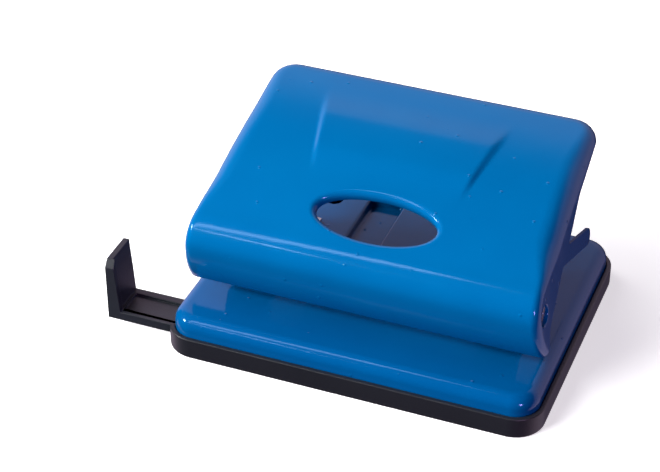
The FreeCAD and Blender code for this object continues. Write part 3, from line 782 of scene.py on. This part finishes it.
def moulded_abs(name, colour, roughness):
    """Injection-moulded ABS with a spark-eroded skin: an even dull sheen that breaks up highlights."""
    material, tree, shader, place = new_material(name)
    grain = add_node(tree, "ShaderNodeTexNoise", {"Vector": place}, Scale=1 / (GRAIN * MM), Detail=3.0)
    flow = add_node(tree, "ShaderNodeTexNoise", {"Vector": place}, Scale=1 / (FLOW_MARKS * MM), Detail=2.0)
    bump = add_node(tree, "ShaderNodeBump", {"Height": grain.outputs["Fac"]}, Strength=0.25,
                    Distance=GRAIN_DEPTH * MM)
    tree.links.new(bump.outputs["Normal"], shader.inputs["Normal"])
    vary(tree, shader, flow, (roughness - FLOW_CHANGE, roughness + FLOW_CHANGE), flow, (0.85, 1.15), colour)
    shader.inputs["IOR"].default_value = 1.53
    return material


tray = moulded_tray()
tray.data.materials.append(moulded_abs("black_moulded_abs", "1B1D22", 0.42))
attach(tray, "tray")
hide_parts("chip_tray")

# ---- paper guide ----------------------------------------------------------------------------------
# The same ABS in charcoal: a bar that slides in under the base plate and an upright stop for the
# paper's edge, with draft for the mould and small rounds along every edge.

GUIDE_EDGE = 0.3
SMALLEST_TURN = 0.5                     # degrees: faces that turn less are one flat face


def eased_copy(node, name, edge, angle=30):
    """A CAD piece again, its flat faces made whole and its edges eased."""
    mesh = bmesh.new()
    mesh.from_mesh(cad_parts[node].data)
    bmesh.ops.remove_doubles(mesh, verts=mesh.verts, dist=0.001 * MM)
    bmesh.ops.dissolve_limit(mesh, angle_limit=math.radians(SMALLEST_TURN), verts=mesh.verts,
                             edges=mesh.edges)
    for face in mesh.faces:
        face.smooth = True
    data = bpy.data.meshes.new(name)
    mesh.to_mesh(data)
    mesh.free()
    piece = bpy.data.objects.new(name, data)
    bpy.context.scene.collection.objects.link(piece)
    ease_edges(piece, edge, angle)
    return baked(piece)


guide = eased_copy("paper_guide", "moulded_paper_guide", GUIDE_EDGE)
guide.data.materials.append(moulded_abs("charcoal_moulded_abs", "202329", 0.38))
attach(guide, "guide")
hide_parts("paper_guide")

# ---- brackets, straps and press channels ----------------------------------------------------------
# Blanked and bent from zinc-plated sheet. The plating is a cool grey with faint streaks along the
# rolling direction, and the cut edges are a little rounded by the tumbling barrel.

STREAK_LENGTH = 16.5
STREAK_WIDTH = 1.1
STREAK_DEPTH = 0.1
BLOOMS = 4.5                            # patches where the plating bath left it duller


def zinc_plate():
    """Bright zinc plating over rolled steel sheet: pale, slightly blue, softly streaked."""
    material, tree, shader, place = new_material("zinc_plated_sheet")
    repeats = (1 / (STREAK_LENGTH * MM), 1 / (STREAK_WIDTH * MM), 1 / (STREAK_WIDTH * MM))
    along = add_node(tree, "ShaderNodeMapping", {"Vector": place}, Scale=repeats)
    streaks = add_node(tree, "ShaderNodeTexNoise", {"Vector": along.outputs["Vector"]}, Scale=1.0, Detail=3.0)
    blooms = add_node(tree, "ShaderNodeTexNoise", {"Vector": place}, Scale=1 / (BLOOMS * MM), Detail=3.0)
    vary(tree, shader, streaks, (0.24, 0.46), blooms, (0.88, 1.06), "C3C8CC")
    bump = add_node(tree, "ShaderNodeBump", {"Height": streaks.outputs["Fac"]}, Strength=0.08,
                    Distance=STREAK_DEPTH * MM)
    tree.links.new(bump.outputs["Normal"], shader.inputs["Normal"])
    shader.inputs["Metallic"].default_value = 0.7
    return material


zinc = zinc_plate()
ZINC_PIECES = (                         # body, node, ease on its cut edges
    ("base", "outer_guide_strap", 0.1), ("base", "inner_guide_strap", 0.1),
    ("base", "left_bracket", 0.2), ("base", "right_bracket", 0.2),
    ("handle", "left_press_channel", 0.2), ("handle", "right_press_channel", 0.2),
    ("left_pin", "left_spring_washer", 0.1), ("right_pin", "right_spring_washer", 0.1),
)
for body, node, edge in ZINC_PIECES:
    piece = eased_copy(node, "plated_" + node, edge)
    piece.data.materials.append(zinc)
    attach(piece, body)
    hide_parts(node)

# ---- punch pins and pivot rod ---------------------------------------------------------------------
# Turned from silver steel and left bright. The pins are hardened and ground, with a domed top for
# the press channel, a groove for the clip and a hollow-ground cutting end.

GRINDING_MARKS = 0.65                   # the real marks are finer: drawn coarser so that they show
MARK_DEPTH = 0.1
OIL_STAINS = 5.5
TURNED_EDGE = 0.08


def bright_steel():
    """Ground tool steel with a film of oil: bright, with fine marks and uneven gloss."""
    material, tree, shader, place = new_material("ground_silver_steel")
    marks = add_node(tree, "ShaderNodeTexNoise", {"Vector": place}, Scale=1 / (GRINDING_MARKS * MM),
                     Detail=2.0)
    stains = add_node(tree, "ShaderNodeTexNoise", {"Vector": place}, Scale=1 / (OIL_STAINS * MM), Detail=4.0)
    vary(tree, shader, stains, (0.16, 0.34), stains, (0.85, 1.1), "B5AFA6")
    bump = add_node(tree, "ShaderNodeBump", {"Height": marks.outputs["Fac"]}, Strength=0.05,
                    Distance=MARK_DEPTH * MM)
    tree.links.new(bump.outputs["Normal"], shader.inputs["Normal"])
    shader.inputs["Metallic"].default_value = 0.8
    return material


steel = bright_steel()
for body, node in (("left_pin", "left_punch_pin"), ("right_pin", "right_punch_pin"), ("base", "pivot_rod")):
    piece = eased_copy(node, "turned_" + node, TURNED_EDGE)
    piece.data.materials.append(steel)
    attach(piece, body)
    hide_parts(node)

# ---- rivets ---------------------------------------------------------------------------------------
# Two domed steel rivets through each bracket's foot, their tails upset under the plate.

RIVET_SHANK = 2.0
RIVET_HEAD = 3.4
RIVET_HEAD_HEIGHT = 1.2
RIVET_TAIL = 0.6
RIVET_TAIL_EDGE = 0.2
RIVET_TAIL_TAPER = 0.4
DOME_STEPS = 8
RIVET_SIDES = 32


def rivet_blank():
    """One rivet standing on the origin: the foot's top face is at z = 0."""
    mesh = bmesh.new()
    grip = (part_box("left_bracket_rivets")[1].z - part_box("left_bracket_rivets")[0].z) / MM
    grip -= RIVET_HEAD_HEIGHT + RIVET_TAIL
    ball = (RIVET_HEAD ** 2 + RIVET_HEAD_HEIGHT ** 2) / (2 * RIVET_HEAD_HEIGHT)
    outline = []
    for k in range(1, DOME_STEPS + 1):
        radius = RIVET_HEAD * k / DOME_STEPS
        outline.append((radius, RIVET_HEAD_HEIGHT - ball + math.sqrt(ball ** 2 - radius ** 2)))
    outline += [(RIVET_SHANK, 0.0), (RIVET_SHANK, -grip), (RIVET_HEAD - RIVET_TAIL_EDGE, -grip),
                (RIVET_HEAD, -grip - RIVET_TAIL_EDGE), (RIVET_HEAD - RIVET_TAIL_TAPER, -grip - RIVET_TAIL)]
    turns = np.linspace(0, 2 * math.pi, RIVET_SIDES, endpoint=False)
    loops = []
    for radius, z in outline:
        loops.append(add_loop(mesh, [Vector((radius * math.cos(t), radius * math.sin(t), z)) for t in turns]))
    for a, b in zip(loops, loops[1:]):
        join_loops(mesh, a, b)
    mesh.faces.new(loops[0])
    mesh.faces.new(loops[-1])
    return new_piece("rivet_blank", mesh)


def set_rivets():
    """Geometry Nodes tree that sets a rivet on every point of the piece."""
    tree = bpy.data.node_groups.new("set_rivets", "GeometryNodeTree")
    tree.interface.new_socket("Places", in_out="INPUT", socket_type="NodeSocketGeometry")
    tree.interface.new_socket("Rivet", in_out="INPUT", socket_type="NodeSocketObject")
    tree.interface.new_socket("Finish", in_out="INPUT", socket_type="NodeSocketMaterial")
    tree.interface.new_socket("Geometry", in_out="OUTPUT", socket_type="NodeSocketGeometry")
    given = add_node(tree, "NodeGroupInput")
    rivet = add_node(tree, "GeometryNodeObjectInfo", {"Object": given.outputs["Rivet"]})
    placed = add_node(tree, "GeometryNodeInstanceOnPoints",
                      {"Points": given.outputs["Places"], "Instance": rivet.outputs["Geometry"]})
    solid = add_node(tree, "GeometryNodeRealizeInstances", {"Geometry": placed.outputs["Instances"]})
    coated = add_node(tree, "GeometryNodeSetMaterial",
                      {"Geometry": solid.outputs["Geometry"], "Material": given.outputs["Finish"]})
    add_node(tree, "NodeGroupOutput", {"Geometry": coated.outputs["Geometry"]})
    return tree


def set_input(modifier, name, value):
    """Sets a Geometry Nodes input by the identifier of its socket."""
    for item in modifier.node_group.interface.items_tree:
        if item.item_type == "SOCKET" and item.in_out == "INPUT" and item.name == name:
            modifier[item.identifier] = value


def rivets():
    """Two rivets in each bracket's foot."""
    blank = rivet_blank()
    mesh = bmesh.new()
    for node in ("left_bracket_rivets", "right_bracket_rivets"):
        low, high = (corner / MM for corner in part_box(node))
        y = (low.y + high.y) / 2
        for x in (low.x + RIVET_HEAD, high.x - RIVET_HEAD):
            mesh.verts.new((x, y, high.z - RIVET_HEAD_HEIGHT))
    piece = new_piece("bracket_rivets", mesh)
    nodes = piece.modifiers.new("rivets", "NODES")
    nodes.node_group = set_rivets()
    set_input(nodes, "Rivet", blank)
    set_input(nodes, "Finish", steel)
    baked(piece)
    bpy.data.objects.remove(blank)
    return piece


rivet_set = rivets()
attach(rivet_set, "base")
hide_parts("left_bracket_rivets", "right_bracket_rivets")

# ---- return springs, clips and leaf spring --------------------------------------------------------
# Cold-drawn spring wire wound with closed end coils, and clips and a leaf stamped from spring strip.
# Both were oil-tempered, which leaves them a darker, slightly brown grey.

SPRING_WIRE = 0.45
SPRING_COIL = 4.0
SPRING_TURNS = 7.0
COIL_STEPS = 40
WIRE_SIDES = 14
TEMPER_FILM = 2.0                       # patches of the film that the oil bath leaves


def spring_steel():
    """Oil-tempered spring steel: dark grey and smooth, with patches where the oil burned off."""
    material, tree, shader, place = new_material("oil_tempered_spring_steel")
    film = add_node(tree, "ShaderNodeTexNoise", {"Vector": place}, Scale=1 / (TEMPER_FILM * MM), Detail=3.0)
    vary(tree, shader, film, (0.22, 0.4), film, (0.8, 1.1), "8C8881")
    shader.inputs["Metallic"].default_value = 0.8
    return material


def wind_spring():
    """Geometry Nodes tree of a compression spring: free turns between two closed end coils."""
    tree = bpy.data.node_groups.new("wind_spring", "GeometryNodeTree")
    for name, kind in (("Turns", "NodeSocketFloat"), ("Coil Radius", "NodeSocketFloat"),
                       ("Wire Radius", "NodeSocketFloat"), ("Height", "NodeSocketFloat"),
                       ("Foot", "NodeSocketVector"), ("Finish", "NodeSocketMaterial")):
        tree.interface.new_socket(name, in_out="INPUT", socket_type=kind)
    tree.interface.new_socket("Geometry", in_out="OUTPUT", socket_type="NodeSocketGeometry")
    given = add_node(tree, "NodeGroupInput").outputs
    line = add_node(tree, "GeometryNodeCurveSpiral",
                    {"Rotations": given["Turns"], "Start Radius": given["Coil Radius"],
                     "End Radius": given["Coil Radius"]}, Resolution=COIL_STEPS, Height=0.0)
    share = add_node(tree, "GeometryNodeSplineParameter").outputs["Factor"]
    turned = add_node(tree, "ShaderNodeMath", {0: share, 1: given["Turns"]}, operation="MULTIPLY")
    last = add_node(tree, "ShaderNodeMath", {0: given["Turns"], 1: 1.0}, operation="SUBTRACT")
    wire_width = add_node(tree, "ShaderNodeMath", {0: given["Wire Radius"], 1: 2.0}, operation="MULTIPLY")
    # The two end coils and the wire itself take three wire widths of the height.
    closed = add_node(tree, "ShaderNodeMath", {0: wire_width.outputs[0], 1: 3.0}, operation="MULTIPLY")
    free = add_node(tree, "ShaderNodeMath", {0: given["Height"], 1: closed.outputs[0]}, operation="SUBTRACT")
    first_coil = add_node(tree, "ShaderNodeMapRange",
                          {"Value": turned.outputs[0], "To Max": wire_width.outputs[0]})
    middle = add_node(tree, "ShaderNodeMapRange",
                      {"Value": turned.outputs[0], "From Max": last.outputs[0], "To Max": free.outputs[0]},
                      interpolation_type="SMOOTHSTEP", From_Min=1.0)
    last_coil = add_node(tree, "ShaderNodeMapRange",
                         {"Value": turned.outputs[0], "From Min": last.outputs[0], "From Max": given["Turns"],
                          "To Max": wire_width.outputs[0]})
    lower = add_node(tree, "ShaderNodeMath", {0: first_coil.outputs["Result"], 1: middle.outputs["Result"]},
                     operation="ADD")
    rise = add_node(tree, "ShaderNodeMath", {0: lower.outputs[0], 1: last_coil.outputs["Result"]},
                    operation="ADD")
    upward = add_node(tree, "ShaderNodeCombineXYZ", {"Z": rise.outputs[0]})
    offset = add_node(tree, "ShaderNodeVectorMath", {0: upward.outputs["Vector"], 1: given["Foot"]})
    wound = add_node(tree, "GeometryNodeSetPosition",
                     {"Geometry": line.outputs["Curve"], "Offset": offset.outputs["Vector"]})
    section = add_node(tree, "GeometryNodeCurvePrimitiveCircle", {"Radius": given["Wire Radius"]},
                       Resolution=WIRE_SIDES)
    wire = add_node(tree, "GeometryNodeCurveToMesh",
                    {"Curve": wound.outputs["Geometry"], "Profile Curve": section.outputs["Curve"]},
                    Fill_Caps=True)
    solid = add_node(tree, "GeometryNodeRealizeInstances", {"Geometry": wire.outputs["Mesh"]})
    coated = add_node(tree, "GeometryNodeSetMaterial",
                      {"Geometry": solid.outputs["Geometry"], "Material": given["Finish"]})
    add_node(tree, "NodeGroupOutput", {"Geometry": coated.outputs["Geometry"]})
    return tree


def return_spring(side, tree, finish):
    """Winds one spring inside the height of its CAD piece."""
    low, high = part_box(side + "_return_spring")
    piece = new_piece(side + "_wound_spring", bmesh.new())
    nodes = piece.modifiers.new("spring", "NODES")
    nodes.node_group = tree
    set_input(nodes, "Turns", SPRING_TURNS)
    set_input(nodes, "Coil Radius", SPRING_COIL * MM)
    set_input(nodes, "Wire Radius", SPRING_WIRE * MM)
    set_input(nodes, "Height", high.z - low.z)
    set_input(nodes, "Foot", ((low.x + high.x) / 2, (low.y + high.y) / 2, low.z + SPRING_WIRE * MM))
    set_input(nodes, "Finish", finish)
    baked(piece)
    for face in piece.data.polygons:
        face.use_smooth = True
    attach(piece, "base")
    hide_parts(side + "_return_spring")
    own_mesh(piece)


tempered = spring_steel()
spring_tree = wind_spring()
for side in ("left", "right"):
    return_spring(side, spring_tree, tempered)
STRIP_PIECES = (                        # body, node, ease on its cut edges
    ("base", "guide_leaf_spring", 0.05), ("base", "left_pivot_clip", 0.08),
    ("base", "right_pivot_clip", 0.08), ("left_pin", "left_pin_clip", 0.08),
    ("right_pin", "right_pin_clip", 0.08),
)
for body, node, edge in STRIP_PIECES:
    piece = eased_copy(node, "stamped_" + node, edge)
    piece.data.materials.append(tempered)
    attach(piece, body)
    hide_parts(node)
